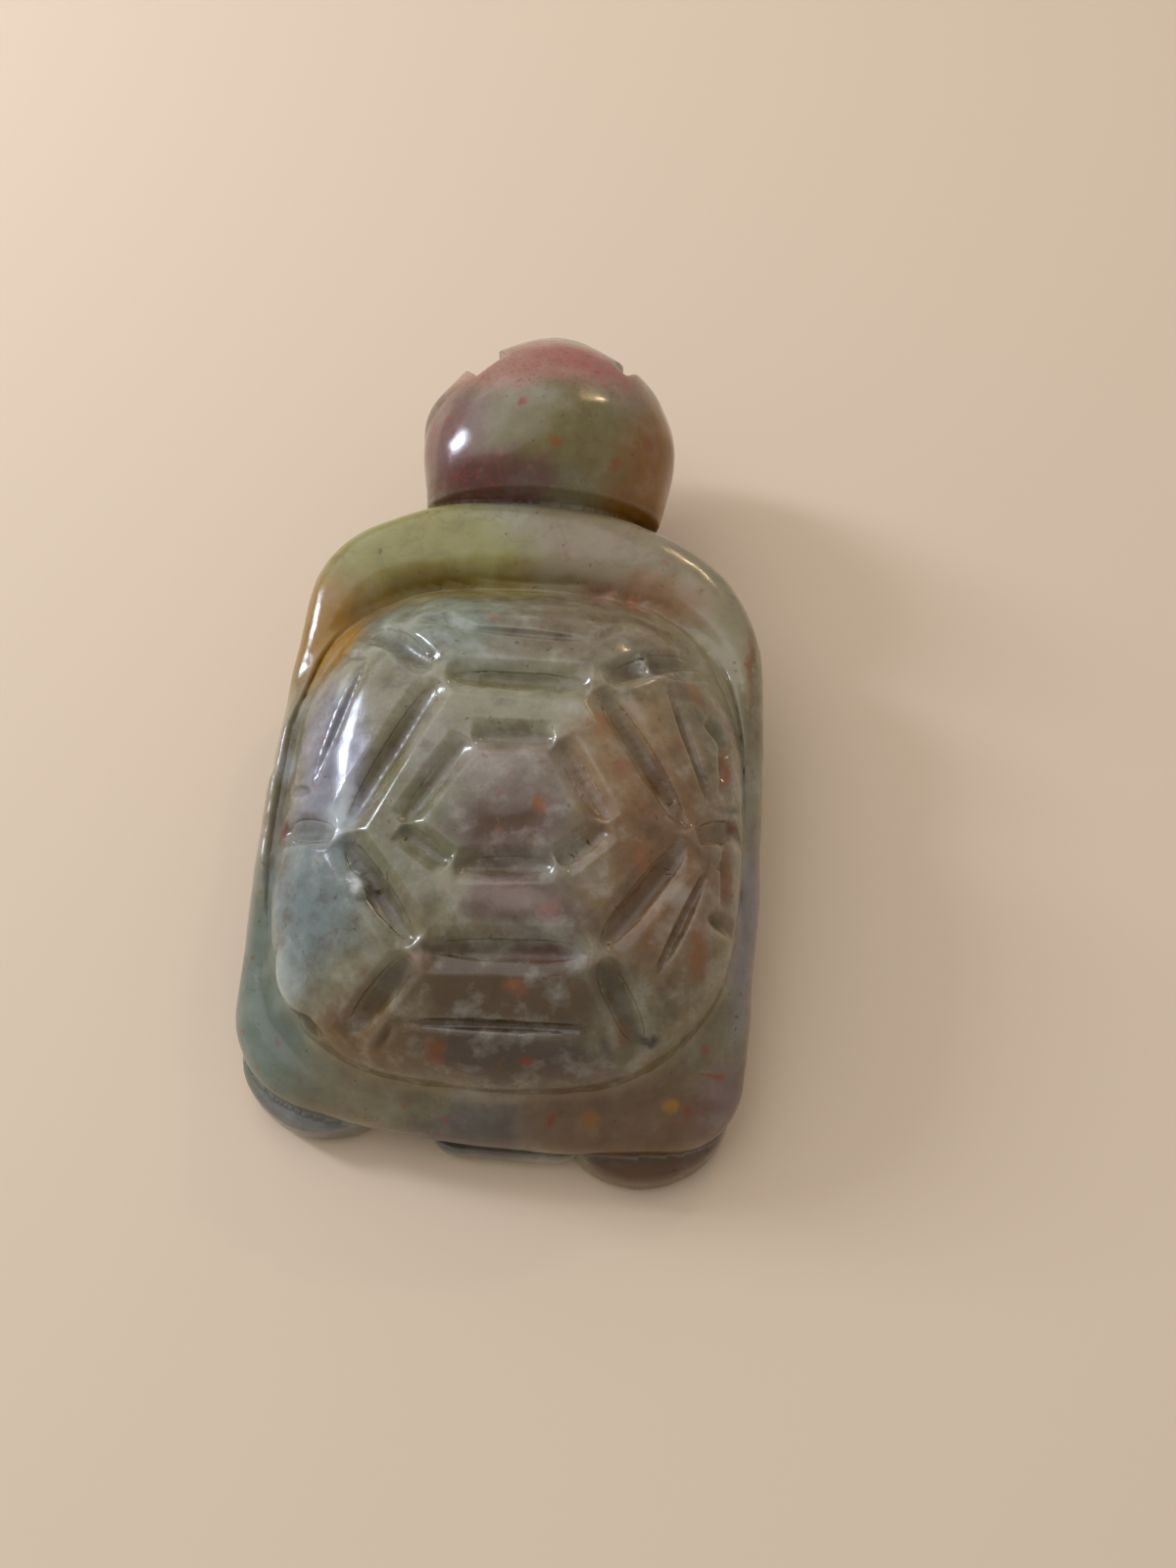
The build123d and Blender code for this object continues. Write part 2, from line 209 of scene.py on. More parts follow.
# The worn collar and rear lip, by their place along the turtle.
COLLAR_ROUNDS = 110
COLLAR_START = 2.0
COLLAR_FADE = 9.0
COLLAR_RISE_MM = 0.45
COLLAR_RISE_FROM = 14.0
COLLAR_RISE_FADE = 4.0
LIP_START = -40.0
LIP_FADE = 5.0
LIP_SHARE = 0.6
# The hollow between dome and rim: the grid that it is measured on, and the balls that are rolled along it.
GRID_MM = 0.5
GRID_START = (-29, -53)
GRID_END = (29, 30)
GRID_TOP = 60
NOTHING_HERE = -100.0
NO_LIMIT = 1000.0
BALL_RADII = (1.0, 3.5, 9.0)
FILL_MOST_MM = 4.0
FILL_LEAST_MM = 0.1
FILL_CARRY_CELLS = 6
FILL_EDGE_MM = 0.6
FILL_EDGE_FADE = 1.2
FILL_LEFT_START = -6.0
FILL_LEFT_FADE = 10.0
FILL_REAR_START = -34.0
FILL_REAR_FADE = 12.0
FILL_FRONT_START = 2.0
FILL_FRONT_FADE = 7.0
FILL_SOFT_MM = 0.3
LEVEL_MM = 0.01
UPWARD_START = 0.05
UPWARD_FADE = 0.3
FILL_RUB_ROUNDS = 14
HOLLOW_ROUNDS = 24
# A mark stays on its own side of the stone: what lies this far above or below it is left alone.
MARK_SIDE_MM = 4.0


def apply_modifier(piece, kind, settings):
    modifier = piece.modifiers.new(kind.lower(), kind)
    for name, value in settings.items():
        setattr(modifier, name, value)
    bpy.ops.object.modifier_apply(modifier=modifier.name)


def stone_copy(node, voxel_mm, rounds):
    """The form's own mesh, merged, remade as even small faces and rubbed smooth."""
    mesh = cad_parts[node].data.copy()
    mesh.materials.clear()
    piece = bpy.data.objects.new("stone_" + node, mesh)
    bpy.context.scene.collection.objects.link(piece)
    bpy.ops.object.select_all(action="DESELECT")
    piece.select_set(True)
    bpy.context.view_layer.objects.active = piece
    bpy.ops.object.mode_set(mode="EDIT")
    bpy.ops.mesh.select_all(action="SELECT")
    bpy.ops.mesh.remove_doubles(threshold=0.001 * MM)
    bpy.ops.object.mode_set(mode="OBJECT")
    apply_modifier(piece, "REMESH", {"mode": "VOXEL", "voxel_size": voxel_mm * MM})
    apply_modifier(piece, "SMOOTH", {"factor": 0.5, "iterations": rounds})
    return piece


def read_points(piece):
    count = len(piece.data.vertices)
    points = np.empty(count * 3, np.float32)
    normals = np.empty(count * 3, np.float32)
    piece.data.vertices.foreach_get("co", points)
    piece.data.vertex_normals.foreach_get("vector", normals)
    return points.reshape(-1, 3) / MM, normals.reshape(-1, 3)


def write_points(piece, points):
    piece.data.vertices.foreach_set("co", (points * MM).astype(np.float32).ravel())
    piece.data.update()


def rub(points, edges, rounds):
    """Points moved towards the middle of their neighbours, a number of times."""
    count = np.zeros(len(points))
    np.add.at(count, edges.ravel(), 1)
    rubbed = points.astype(np.float64)
    for _ in range(rounds):
        total = np.zeros_like(rubbed)
        np.add.at(total, edges[:, 0], rubbed[edges[:, 1]])
        np.add.at(total, edges[:, 1], rubbed[edges[:, 0]])
        rubbed = 0.5 * rubbed + 0.5 * total / count[:, None]
    return rubbed


def read_edges(piece):
    edges = np.empty(len(piece.data.edges) * 2, np.int32)
    piece.data.edges.foreach_get("vertices", edges)
    return edges.reshape(-1, 2)


def surface_of(mesh):
    """A mesh as a surface that rays and distances are measured on, in mm."""
    return BVHTree.FromPolygons([v.co / MM for v in mesh.vertices], [p.vertices for p in mesh.polygons])


def root_into(piece, neighbours):
    """Push the contact faces of a form a little way into what it grows out of."""
    points, normals = read_points(piece)
    for node in neighbours:
        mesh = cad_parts[node].data
        tree = surface_of(mesh)
        for index, (point, normal) in enumerate(zip(points, normals)):
            place, facing, _, _ = tree.find_nearest(Vector(point), CONTACT_MM)
            if place is not None and facing.dot(Vector(normal)) < FACING_AWAY:
                points[index] = point + normal * ROOT_MM
    write_points(piece, points)


def mark_hollows(piece):
    """Write how deep each point lies in a cut or crease, as a share, for the polish and for the painted shade
    in the cuts and the painted highlight on their edges.
    """
    points, normals = read_points(piece)
    rubbed = rub(points, read_edges(piece), HOLLOW_ROUNDS)
    depth = np.einsum("ij,ij->i", rubbed - points, normals)
    attribute = piece.data.attributes.new("hollow", "FLOAT", "POINT")
    attribute.data.foreach_set("value", depth.astype(np.float32))


def roll_collar(piece):
    """Wear the front collar and the rear lip down to full round rolls."""
    points, _ = read_points(piece)
    worn = rub(points, read_edges(piece), COLLAR_ROUNDS)
    front = np.clip((points[:, 1] - COLLAR_START) / COLLAR_FADE, 0, 1)
    rear = np.clip((LIP_START - points[:, 1]) / LIP_FADE, 0, 1) * LIP_SHARE
    share = np.maximum(front, rear)[:, None]
    points = points * (1 - share) + worn * share
    rise = np.clip((points[:, 2] - COLLAR_RISE_FROM) / COLLAR_RISE_FADE, 0, 1)
    points[:, 2] += COLLAR_RISE_MM * front * rise
    write_points(piece, points)


def press(piece, marks):
    """Cuts, pits and knobs. Each has its centre, direction, half length, half width and height in mm,
    and a share from 0, softly rounded, to 1, with straight flanks."""
    points, normals = read_points(piece)
    start = points.copy()
    for centre, direction, half_length, half_width, height, sharp in marks:
        away = start - np.array(centre)
        along = np.array(Vector(direction).normalized())
        run = away @ along
        up = normals[np.argmin(np.einsum("ij,ij->i", away, away))].astype(np.float64)
        lift = away @ up
        flat = away - run[:, None] * along - lift[:, None] * up
        aside = np.linalg.norm(flat, axis=1) + MARK_SIDE_MM * (np.abs(lift) > MARK_SIDE_MM)
        reach = np.clip(1 - (run / half_length) ** 2, 0, 1)
        edge = np.clip(1 - aside / half_width, 0, 1)
        soft = np.clip(1 - (aside / half_width) ** 2, 0, 1) ** 2
        points += normals * (height * reach * (edge * sharp + soft * (1 - sharp)))[:, None]
    write_points(piece, points)


def dome_place(x, y):
    """A place in the shell's plane, as the corner shares give it, in mm along the dome."""
    return (DOME_RIGHT + x, y - DOME_BACK)


def cut_lines():
    """Both ends of every cut in the dome, in the shell's plane, with its half width and depth."""
    def between(start, end, share):
        return tuple(a + (b - a) * share for a, b in zip(start, end))

    def hexagon(corners, half_sizes):
        right, back = HEXAGON_CENTRE
        return [(right + half_sizes[0] * x, half_sizes[1] * y + back) for x, y in corners]

    inner = hexagon(INNER_CORNERS, INNER_HALF_SIZES)
    outer = hexagon(OUTER_CORNERS, OUTER_HALF_SIZES)
    feet = []
    for degrees in RADIAL_DEGREES:
        angle = math.radians(degrees)
        power = 2 / DOME_ROUNDNESS
        reach = (abs(math.cos(angle) / DOME_HALF_WIDTH) ** power
                 + abs(math.sin(angle) / DOME_HALF_LENGTH) ** power) ** (-1 / power)
        feet.append(dome_place(reach * math.cos(angle), reach * math.sin(angle)))
    lines = []
    for corners, cut in ((inner, INNER_CUT), (outer, OUTER_CUT)):
        for corner, following in zip(corners, corners[1:] + corners[:1]):
            start = between(corner, following, CORNER_GAP_SHARE)
            lines.append((start, between(following, corner, CORNER_GAP_SHARE), *cut))
    for corner, foot in zip(outer, feet):
        start = between(corner, foot, RADIAL_START_SHARE)
        lines.append((start, between(corner, foot, RADIAL_END_SHARE), *RADIAL_CUT))
    return lines


def widen_cuts(piece):
    """Wear the shoulders of every cut down to the wide soft valleys of a hand-held wheel, and slope the
    dome's front and left flank down to the rim."""
    points, normals = read_points(piece)
    flat = points + np.array((-ROW_SHIFT[0], -ROW_SHIFT[1], -SHELL_HEIGHT))
    tilt = math.radians(SHELL_TILT_DEGREES)
    along = flat[:, 1] * math.cos(tilt) + flat[:, 2] * math.sin(tilt)
    up = flat[:, 2] * math.cos(tilt) - flat[:, 1] * math.sin(tilt)
    plan = np.stack([flat[:, 0], along], axis=1)
    worn = rub(points, read_edges(piece), CUT_RUB_ROUNDS)
    open_share = np.zeros(len(points))
    press_mm = np.zeros(len(points))
    for start, end, half_width, depth in cut_lines():
        start, end = np.array(start), np.array(end)
        length = np.linalg.norm(end - start)
        way = (end - start) / length
        run = (plan - start) @ way / length
        aside = np.abs((plan - start) @ np.array((-way[1], way[0])))
        reach = np.clip(1 - (2 * run - 1) ** CUT_END_POWER, 0, 1) * ((run > 0) & (run < 1))
        valley = np.clip(1 - aside / half_width, 0, 1)
        press_mm = np.maximum(press_mm, depth * reach * valley)
        open_share = np.maximum(open_share, reach * np.clip(2 * valley, 0, 1))
    open_share = (open_share * (up > DOME_FOOT_MM))[:, None]
    press_mm *= up > DOME_FOOT_MM
    points = points * (1 - open_share) + worn * open_share - normals * press_mm[:, None]
    # The front and the left flank slope down to the rim; the right and the rear keep their step.
    aside, ahead = plan[:, 0] - DOME_RIGHT, plan[:, 1] + DOME_BACK
    power = 2 / DOME_ROUNDNESS
    out = ((np.abs(aside) / DOME_HALF_WIDTH) ** power
           + (np.abs(ahead) / DOME_HALF_LENGTH) ** power) ** (1 / power)
    front = np.clip((ahead - FRONT_SLOPE_START) / FRONT_SLOPE_FADE, 0, 1)
    left = LEFT_SLOPE_SHARE * np.clip((-aside - LEFT_SLOPE_START) / LEFT_SLOPE_FADE, 0, 1)
    left *= np.clip((ahead - LEFT_SLOPE_REAR) / LEFT_SLOPE_REAR_FADE, 0, 1)
    near_foot = np.clip((out - SLOPE_START_SHARE) / (1 - SLOPE_START_SHARE), 0, 1) ** SLOPE_POWER
    fall = np.clip(up, 0, None) * SLOPE_FALL_SHARE * np.maximum(front, left) * near_foot
    points[:, 1] += fall * math.sin(tilt)
    points[:, 2] -= fall * math.cos(tilt)
    write_points(piece, points)


def look_down(pieces):
    """The heights of some pieces as seen from above, on a grid, with NaN where there is none."""
    surfaces = [surface_of(piece.data) for piece in pieces]
    across, along = [np.arange(start, end + GRID_MM, GRID_MM) for start, end in zip(GRID_START, GRID_END)]
    heights = np.full((len(across), len(along)), np.nan)
    for i, x in enumerate(across):
        for j, y in enumerate(along):
            for surface in surfaces:
                place = surface.ray_cast(Vector((x, y, GRID_TOP)), Vector((0, 0, -1)))[0]
                if place is not None:
                    heights[i, j] = np.nanmax((heights[i, j], place[2]))
    return heights


def rolled(heights, radius_mm):
    """How far a ball of this radius, rolled over the heights, stays above them."""
    steps = int(radius_mm / GRID_MM)
    solid = np.where(np.isnan(heights), NOTHING_HERE, heights)
    ball = [(i, j, math.sqrt(radius_mm ** 2 - (i * i + j * j) * GRID_MM ** 2) - radius_mm)
            for i in range(-steps, steps + 1) for j in range(-steps, steps + 1)
            if (i * i + j * j) * GRID_MM ** 2 < radius_mm ** 2]

    def moved(field, i, j, fill):
        wide = np.pad(field, steps, constant_values=fill)
        return wide[steps + i:steps + i + field.shape[0], steps + j:steps + j + field.shape[1]]

    over = np.full(solid.shape, NOTHING_HERE)
    for i, j, drop in ball:
        over = np.maximum(over, moved(solid, i, j, NOTHING_HERE) + drop)
    under = np.full(solid.shape, NO_LIMIT)
    for i, j, drop in ball:
        under = np.minimum(under, moved(over, i, j, NO_LIMIT) - drop)
    return np.where(np.isnan(heights), 0.0, under - solid)


def spread_in(field, empty, steps):
    """Carry the values at a hole's border into it, a number of cells deep."""
    field, empty = field.copy(), empty.copy()
    field[empty] = 0.0
    for _ in range(steps):
        wide, known = np.pad(field, 1), np.pad(~empty, 1).astype(float)
        total, count = np.zeros_like(field), np.zeros_like(field)
        for i, j in ((0, 1), (2, 1), (1, 0), (1, 2)):
            part = (slice(i, i + field.shape[0]), slice(j, j + field.shape[1]))
            total += wide[part] * known[part]
            count += known[part]
        fresh = empty & (count > 0)
        field[fresh] = total[fresh] / count[fresh]
        empty &= ~fresh
    return field


def depth_inside(outside):
    """How far each cell of the grid lies inside the outline, in mm."""
    depth = np.zeros(outside.shape)
    inside = ~outside
    while inside.any():
        depth += inside * GRID_MM
        wide = np.pad(inside, 1)
        inside = wide[:-2, 1:-1] & wide[2:, 1:-1] & wide[1:-1, :-2] & wide[1:-1, 2:]
    return depth


def read_grid(fields, points):
    """The values of some grids at the points, each shaded from its four nearest cells."""
    shape = fields[0].shape
    i, j = [np.clip((points[:, axis] - GRID_START[axis]) / GRID_MM, 0, shape[axis] - 1.01) for axis in (0, 1)]
    i_low, j_low = i.astype(int), j.astype(int)
    i_part, j_part = i - i_low, j - j_low
    values = [np.zeros(len(points)) for _ in fields]
    for i_step, i_weight in ((0, 1 - i_part), (1, i_part)):
        for j_step, j_weight in ((0, 1 - j_part), (1, j_part)):
            for value, field in zip(values, fields):
                value += i_weight * j_weight * field[i_low + i_step, j_low + j_step]
    return values


def fill_moat(rim, dome):
    """Bring the rim's floor up to the dome: a crease at the front, soft at the rear, fullest on the left."""
    rim_top, top = look_down((rim,)), look_down((rim, dome))
    extra = top - rim_top - HIDDEN_MM * (top > rim_top + LEVEL_MM)
    edge_share = np.clip((depth_inside(np.isnan(top)) - FILL_EDGE_MM) / FILL_EDGE_FADE, 0, 1)
    fills = []
    for radius_mm in BALL_RADII:
        above = (rolled(top, radius_mm) - FILL_LEAST_MM).clip(0) + extra
        fill = spread_in(above, np.isnan(extra), FILL_CARRY_CELLS)
        fills.append(np.clip(fill, 0, FILL_MOST_MM) * edge_share)
    points, normals = read_points(rim)
    crease, tight, full = read_grid(fills, points)
    left = np.clip((FILL_LEFT_START - points[:, 0]) / FILL_LEFT_FADE, 0, 1)
    left *= np.clip((points[:, 1] - FILL_REAR_START) / FILL_REAR_FADE, 0, 1)
    front = np.clip((points[:, 1] - FILL_FRONT_START) / FILL_FRONT_FADE, 0, 1)
    lift = crease * front + (tight * (1 - left) + full * left) * (1 - front)
    upward = np.clip((normals[:, 2] - UPWARD_START) / UPWARD_FADE, 0, 1)
    moved = points.astype(np.float64)
    moved[:, 2] += lift * upward
    near = (np.clip(lift / FILL_SOFT_MM, 0, 1) * upward)[:, None]
    moved = moved * (1 - near) + rub(moved, read_edges(rim), FILL_RUB_ROUNDS) * near
    write_points(rim, moved)


def roughen(piece, centre, reach, height_mm, size_mm):
    """Broken, crystal-like ground within a reach of a place."""
    points, normals = read_points(piece)
    for index in np.nonzero(np.linalg.norm(points - np.array(centre), axis=1) < reach)[0]:
        point = Vector(points[index])
        share = 1 - (point - Vector(centre)).length / reach
        lift = abs(noise.noise(point / size_mm)) + 0.5 * abs(noise.noise(2.3 * point / size_mm))
        points[index] += normals[index] * height_mm * lift * min(1.0, 2 * share)
    write_points(piece, points)


def hand_work(piece, height_mm, size_mm, seed):
    """The unevenness that hand grinding leaves in a surface."""
    points, normals = read_points(piece)
    shift = Vector((seed, 2 * seed, 3 * seed))
    for index, (point, normal) in enumerate(zip(points, normals)):
        points[index] = point + normal * height_mm * noise.noise(Vector(point) / size_mm + shift)
    write_points(piece, points)


# Stone

# Colour zones of the stone, one of them with painted shade: centre and reach in mm, colour, and how fully it
# takes over.
ZONES = (
    ((-14, 16, 18), (17, 9, 9), "#928a4a", 0.95),
    ((-23, 6, 15), (7, 11, 7), "#9a6f14", 0.95),
    ((-8, 12.5, 16), (15, 4, 5), "#7a641a", 0.95),
    ((9, 18, 20), (12, 8, 7), "#8f7e60", 0.9),
    ((21, 8, 17), (9, 12, 8), "#948868", 0.9),
    ((13, 12, 17), (9, 4, 5), "#8f6440", 0.75),
    ((-10, 2, 25), (14, 8, 8), "#7e8676", 0.9),
    ((5, 1, 25), (10, 7, 6), "#80705a", 0.75),
    ((0, -9, 26), (12, 6, 6), "#908a6e", 0.85),
    ((-19, -15, 21), (6, 11, 8), "#7f7f8e", 0.8),
    ((-19, -29, 19), (8, 10, 9), "#6f7c7a", 0.9),
    ((-26, -38, 9), (10, 18, 8), "#6c7768", 0.95),
    ((-9, -24, 24), (7, 8, 5), "#6e6c4e", 0.75),
    ((2, -17, 26), (9, 5, 5), "#857365", 0.8),
    # Dark brown band on the rear slope of the middle plateau: brown stone with painted shade over it.
    ((1, -23, 25), (8, 5, 4), "#53361f", 0.9),
    ((3, -29.5, 23.5), (8, 4, 5), "#654f45", 0.85),
    ((13, -13, 25), (8, 9, 6), "#9a7a56", 0.8),
    ((17, -24, 22), (9, 13, 9), "#805d3c", 0.9),
    ((2, -38, 20), (14, 5, 6), "#533d24", 0.9),
    ((3, -43.5, 16), (13, 4, 7), "#4c3a2e", 0.9),
    ((-12, -42, 15), (6, 6, 6), "#684a20", 0.85),
    ((14, -47, 8), (16, 6, 6), "#6c4c2c", 0.85),
    ((27, -27, 11), (4, 13, 6), "#857a7e", 0.75),
    ((26, -45, 5), (6, 7, 6), "#76585a", 0.8),
    ((18, -50, 4), (9, 7, 5), "#5e3a12", 0.9),
    ((-1, -51, 7), (9, 5, 6), "#52483e", 0.9),
    ((-20, -49, 3), (9, 6, 4), "#6c6a66", 0.85),
)
HEAD_ZONES = (
    ((3, 29, 26), (10, 8, 9), "#76683a", 0.9),
    ((14, 29, 18), (9, 15, 11), "#86560c", 0.95),
    ((-11, 31, 23), (7, 8, 10), "#775850", 0.9),
    ((-6, 24, 21), (8, 5, 8), "#582b26", 0.85),
    ((-1, 40, 26), (14, 5, 9), "#a67866", 0.9),
    ((5, 41, 26), (8, 3, 7), "#a65446", 0.7),
    ((13, 18, 14), (6, 5, 7), "#74321a", 0.8),
)
PINK_PARTS = (
    ((-1, 40, 26), (15, 6, 9)),
    ((-14, 33, 21), (5, 8, 8)),
    ((-7, 24, 21), (9, 6, 8)),
    ((13, 18, 14), (6, 6, 8)),
)
# Small places with a colour of their own.
SPOTS = (
    ((-20.4, -37.2, 15.2), (2.4, 3.6, 3.4), "#b5bcb4", 0.9),
    ((-18.4, -41, 13.4), (2.2, 1.4, 2), "#57421f", 0.85),
    ((-17, -22, 22.6), (2.4, 2.4, 2.4), "#bcc3c4", 0.75),
    ((-16.4, -19.5, 23.2), (1.2, 2.6, 2), "#c6cac8", 0.7),
    ((-19, -6.6, 23.6), (1.2, 3, 2), "#b7bcb6", 0.6),
    ((-13.6, -28.6, 22.6), (1.3, 1.7, 1.6), "#e4e6e4", 0.95),
    ((13.3, -2.3, 24.6), (1.5, 1.2, 1.6), "#cfcdc0", 0.9),
    ((18.6, -0.3, 23.6), (2.2, 0.8, 1.4), "#b7ae98", 0.7),
    ((18.4, -27.4, 21.2), (2.2, 1.8, 2), "#a99c8c", 0.75),
    ((1.4, -29.6, 23.5), (6, 1.6, 2), "#978479", 0.75),
    ((-4, -28.6, 23.8), (2.6, 1.8, 2), "#a09780", 0.7),
    ((5.5, -30.6, 23.1), (1.6, 1.2, 1.6), "#96695c", 0.7),
    ((-7, -35.6, 21.2), (1.3, 1, 1.4), "#a08376", 0.8),
    ((-4.9, -43.3, 16), (1.3, 1.6, 3), "#74400d", 0.95),
    ((13.6, -40.6, 17.2), (1.3, 2.2, 2.6), "#6e4a24", 0.85),
    ((5.2, -34.4, 21.2), (3.6, 1.1, 1.8), "#551c14", 0.9),
    ((-3.4, -34.8, 21.4), (4.6, 1.1, 1.8), "#4a3a1a", 0.8),
    ((0.6, -26.9, 24), (5, 1.1, 1.8), "#55390f", 0.85),
    ((-0.5, -6.2, 26.5), (8.5, 1.1, 2), "#675f1e", 0.85),
    ((-12, -15, 24.6), (2.6, 6, 3), "#6d6530", 0.7),
    ((9.5, -10.6, 26.1), (1.3, 2, 1.6), "#9a5f2c", 0.8),
    ((11.9, -15.3, 25.2), (1.6, 1.6, 1.6), "#8c5c40", 0.75),
    ((15.4, -14.9, 23.6), (1, 3.4, 2), "#6c4220", 0.85),
    ((14.4, -24.8, 23.2), (1, 2.2, 1.6), "#95592a", 0.8),
    ((19.8, -3.5, 23.3), (1.6, 2.4, 2), "#93592c", 0.75),
    ((23, -11.8, 20.3), (1.1, 4, 3), "#8c4e18", 0.9),
    ((23.4, -23.4, 18), (1.1, 4.2, 3), "#865022", 0.85),
    ((20.6, -32.4, 18.3), (1.4, 3.6, 3.4), "#86501e", 0.9),
    ((24, -17.8, 18.2), (1.2, 1.2, 2), "#7a4012", 0.9),
    ((16.4, -41, 15.6), (1.8, 0.7, 1.2), "#2f170c", 0.9),
    ((26.2, 4.4, 16.2), (0.7, 6, 3), "#7f4a18", 0.9),
    ((-11.9, -14.5, 24.4), (1, 1.4, 1.2), "#6c4350", 0.7),
    ((-24.4, -21, 17), (1.2, 1.8, 1.8), "#703a36", 0.8),
    ((-8.6, 18.2, 20.2), (0.6, 0.6, 0.8), "#94521e", 1.0),
    ((15.3, 15.9, 19.8), (0.9, 0.8, 1), "#8e4e20", 1.0),
    ((12, 12, 17.8), (0.8, 0.8, 1), "#8e4e20", 0.9),
    ((1.7, 27.9, 27.1), (1, 0.9, 1), "#8a4e1e", 0.95),
    ((8.8, 26.7, 24.8), (1, 1, 1.2), "#864a1c", 0.9),
    ((13, 31.1, 24), (0.9, 1.2, 1.2), "#864a1c", 0.9),
    ((-2.7, 32.5, 28.6), (0.8, 0.6, 1), "#8c3028", 0.9),
    ((3.6, -20.1, 25.4), (1.1, 1.3, 1.2), "#94562c", 0.85),
    ((-3.1, 1.9, 26.1), (0.6, 0.6, 0.8), "#9c5c2c", 0.9),
    ((2.8, -37.7, 20.4), (1.4, 0.9, 1.2), "#8a5328", 0.85),
    ((4.2, -43.8, 15.6), (1.3, 0.7, 0.9), "#7a3408", 0.9),
    ((18.8, -45.5, 9), (0.9, 0.7, 0.9), "#9a6a08", 0.95),
    ((20.6, -45.9, 9), (0.5, 0.9, 0.9), "#7c3810", 0.9),
    ((23.3, -42.2, 9.6), (1.8, 0.6, 0.9), "#86401a", 0.85),
    ((22, -39.6, 10), (0.6, 1.2, 0.9), "#8a4624", 0.8),
    ((10.7, -47.4, 8.6), (1.2, 1.6, 1.2), "#8c5c18", 0.8),
    ((6.8, -47.7, 8.6), (0.6, 0.7, 0.9), "#7a380c", 0.9),
    ((-18.6, 15.4, 20), (0.5, 0.5, 0.8), "#5c3a1c", 0.8),
    ((-25, -13, 16), (1.4, 2.2, 3), "#b4b9ba", 0.6),
)
# Cuts, knobs and pits that the wheel and the hand left on the dome.
DOME_MARKS = (
    ((-20.4, -37.2, 15.4), (0.35, -0.8, -0.3), 3.9, 2.5, 1.1, 0.0),
    ((-18.4, -41.0, 13.4), (0.9, -0.3, -0.2), 2.2, 1.5, -1.0, 0.3),
    ((-22.4, -37.8, 13.8), (0.3, -0.85, -0.4), 4.4, 1.1, -0.6, 0.3),
    ((22.7, -7.8, 21.0), (0.6, -0.5, -0.5), 2.4, 1.4, -1.4, 0.8),
    ((23.2, -28.4, 17.4), (0.75, -0.05, -0.65), 2.6, 1.4, -1.5, 0.8),
    ((23.1, -12.0, 20.4), (0.05, 1.0, 0.1), 4.4, 1.3, -1.2, 0.9),
    ((23.5, -23.5, 18.1), (-0.1, 1.0, 0.1), 4.6, 1.3, -1.2, 0.9),
    ((-8.3, 1.4, 25.9), (0.85, -0.5, 0.15), 3.8, 1.3, -0.5, 0.6),
    ((2.8, 1.1, 26.3), (1.0, 0.05, 0.0), 8.0, 2.0, -0.15, 0.2),
    ((-13.6, -28.6, 22.5), (0.4, -0.9, 0.0), 1.8, 1.3, 0.5, 0.0),
    ((18.4, -0.4, 23.6), (0.9, 0.4, -0.2), 3.0, 0.8, -0.4, 0.8),
)
# The chipped, crystal-like place at the front right of the dome.
CHIPPED_PLACE = {"centre": (13.3, -2.2, 24.6), "reach": 1.5, "height_mm": 0.9, "size_mm": 0.7}
# The unevenness of the whole surface: height and size in mm, and where each draw starts.
HAND_WORK = ((0.2, 7.0, 0), (0.05, 2.4, 40))
HEAD_MARKS = (
    ((-13.0, 37.5, 21.0), (0.4, 0.5, 0.8), 5.0, 2.2, 0.5, 0.0),
)


# How close the stone's patterns lie, in repeats a millimetre: clouds about 9 mm, ripples 1.7 mm, bands 14 mm,
# crystals 3 mm, rust 3 mm and veins 18 mm apart, polish 2 mm and grit 0.4 mm.
DRIFT_PER_MM = 0.11
RIPPLE_PER_MM = 0.6
BAND_PER_MM = 0.07
CRYSTAL_PER_MM = 0.36
RUST_PER_MM = 0.3
VEIN_PER_MM = 0.055
POLISH_PER_MM = 0.5
GRIT_PER_MM = 2.6
DRIFT_PUSH_MM = 11.0
RIPPLE_PUSH_MM = 2.4
GRIT_DEPTH_MM = 0.06
GLOW_DEPTH_MM = 1.6
ZONE_MARGIN_MM = 2.5
SPOT_MARGIN_MM = 0.6
# Flecks: repeats a millimetre, core and edge of a dot in its cell, the share of empty cells, and colour.
FLECKS = ((0.5, 0.05, 0.26, 0.86, "#84492a"), (0.9, 0.1, 0.22, 0.85, "#3f2c1a"))
PINK_GRAINS = ((1.5, 0.15, 0.55, 0.45, "#9c3a34"), (2.6, 0.1, 0.5, 0.5, "#8c3434"))


def touching(areas, points, margin_mm):
    """The areas of a list that some of a piece's points lie in or near."""
    found = []
    for area in areas:
        centre, reach = np.array(area[0], float), np.array(area[1], float) + margin_mm
        if (np.square((points - centre) / reach).sum(axis=1) < 1.4).any():
            found.append(area)
    return found


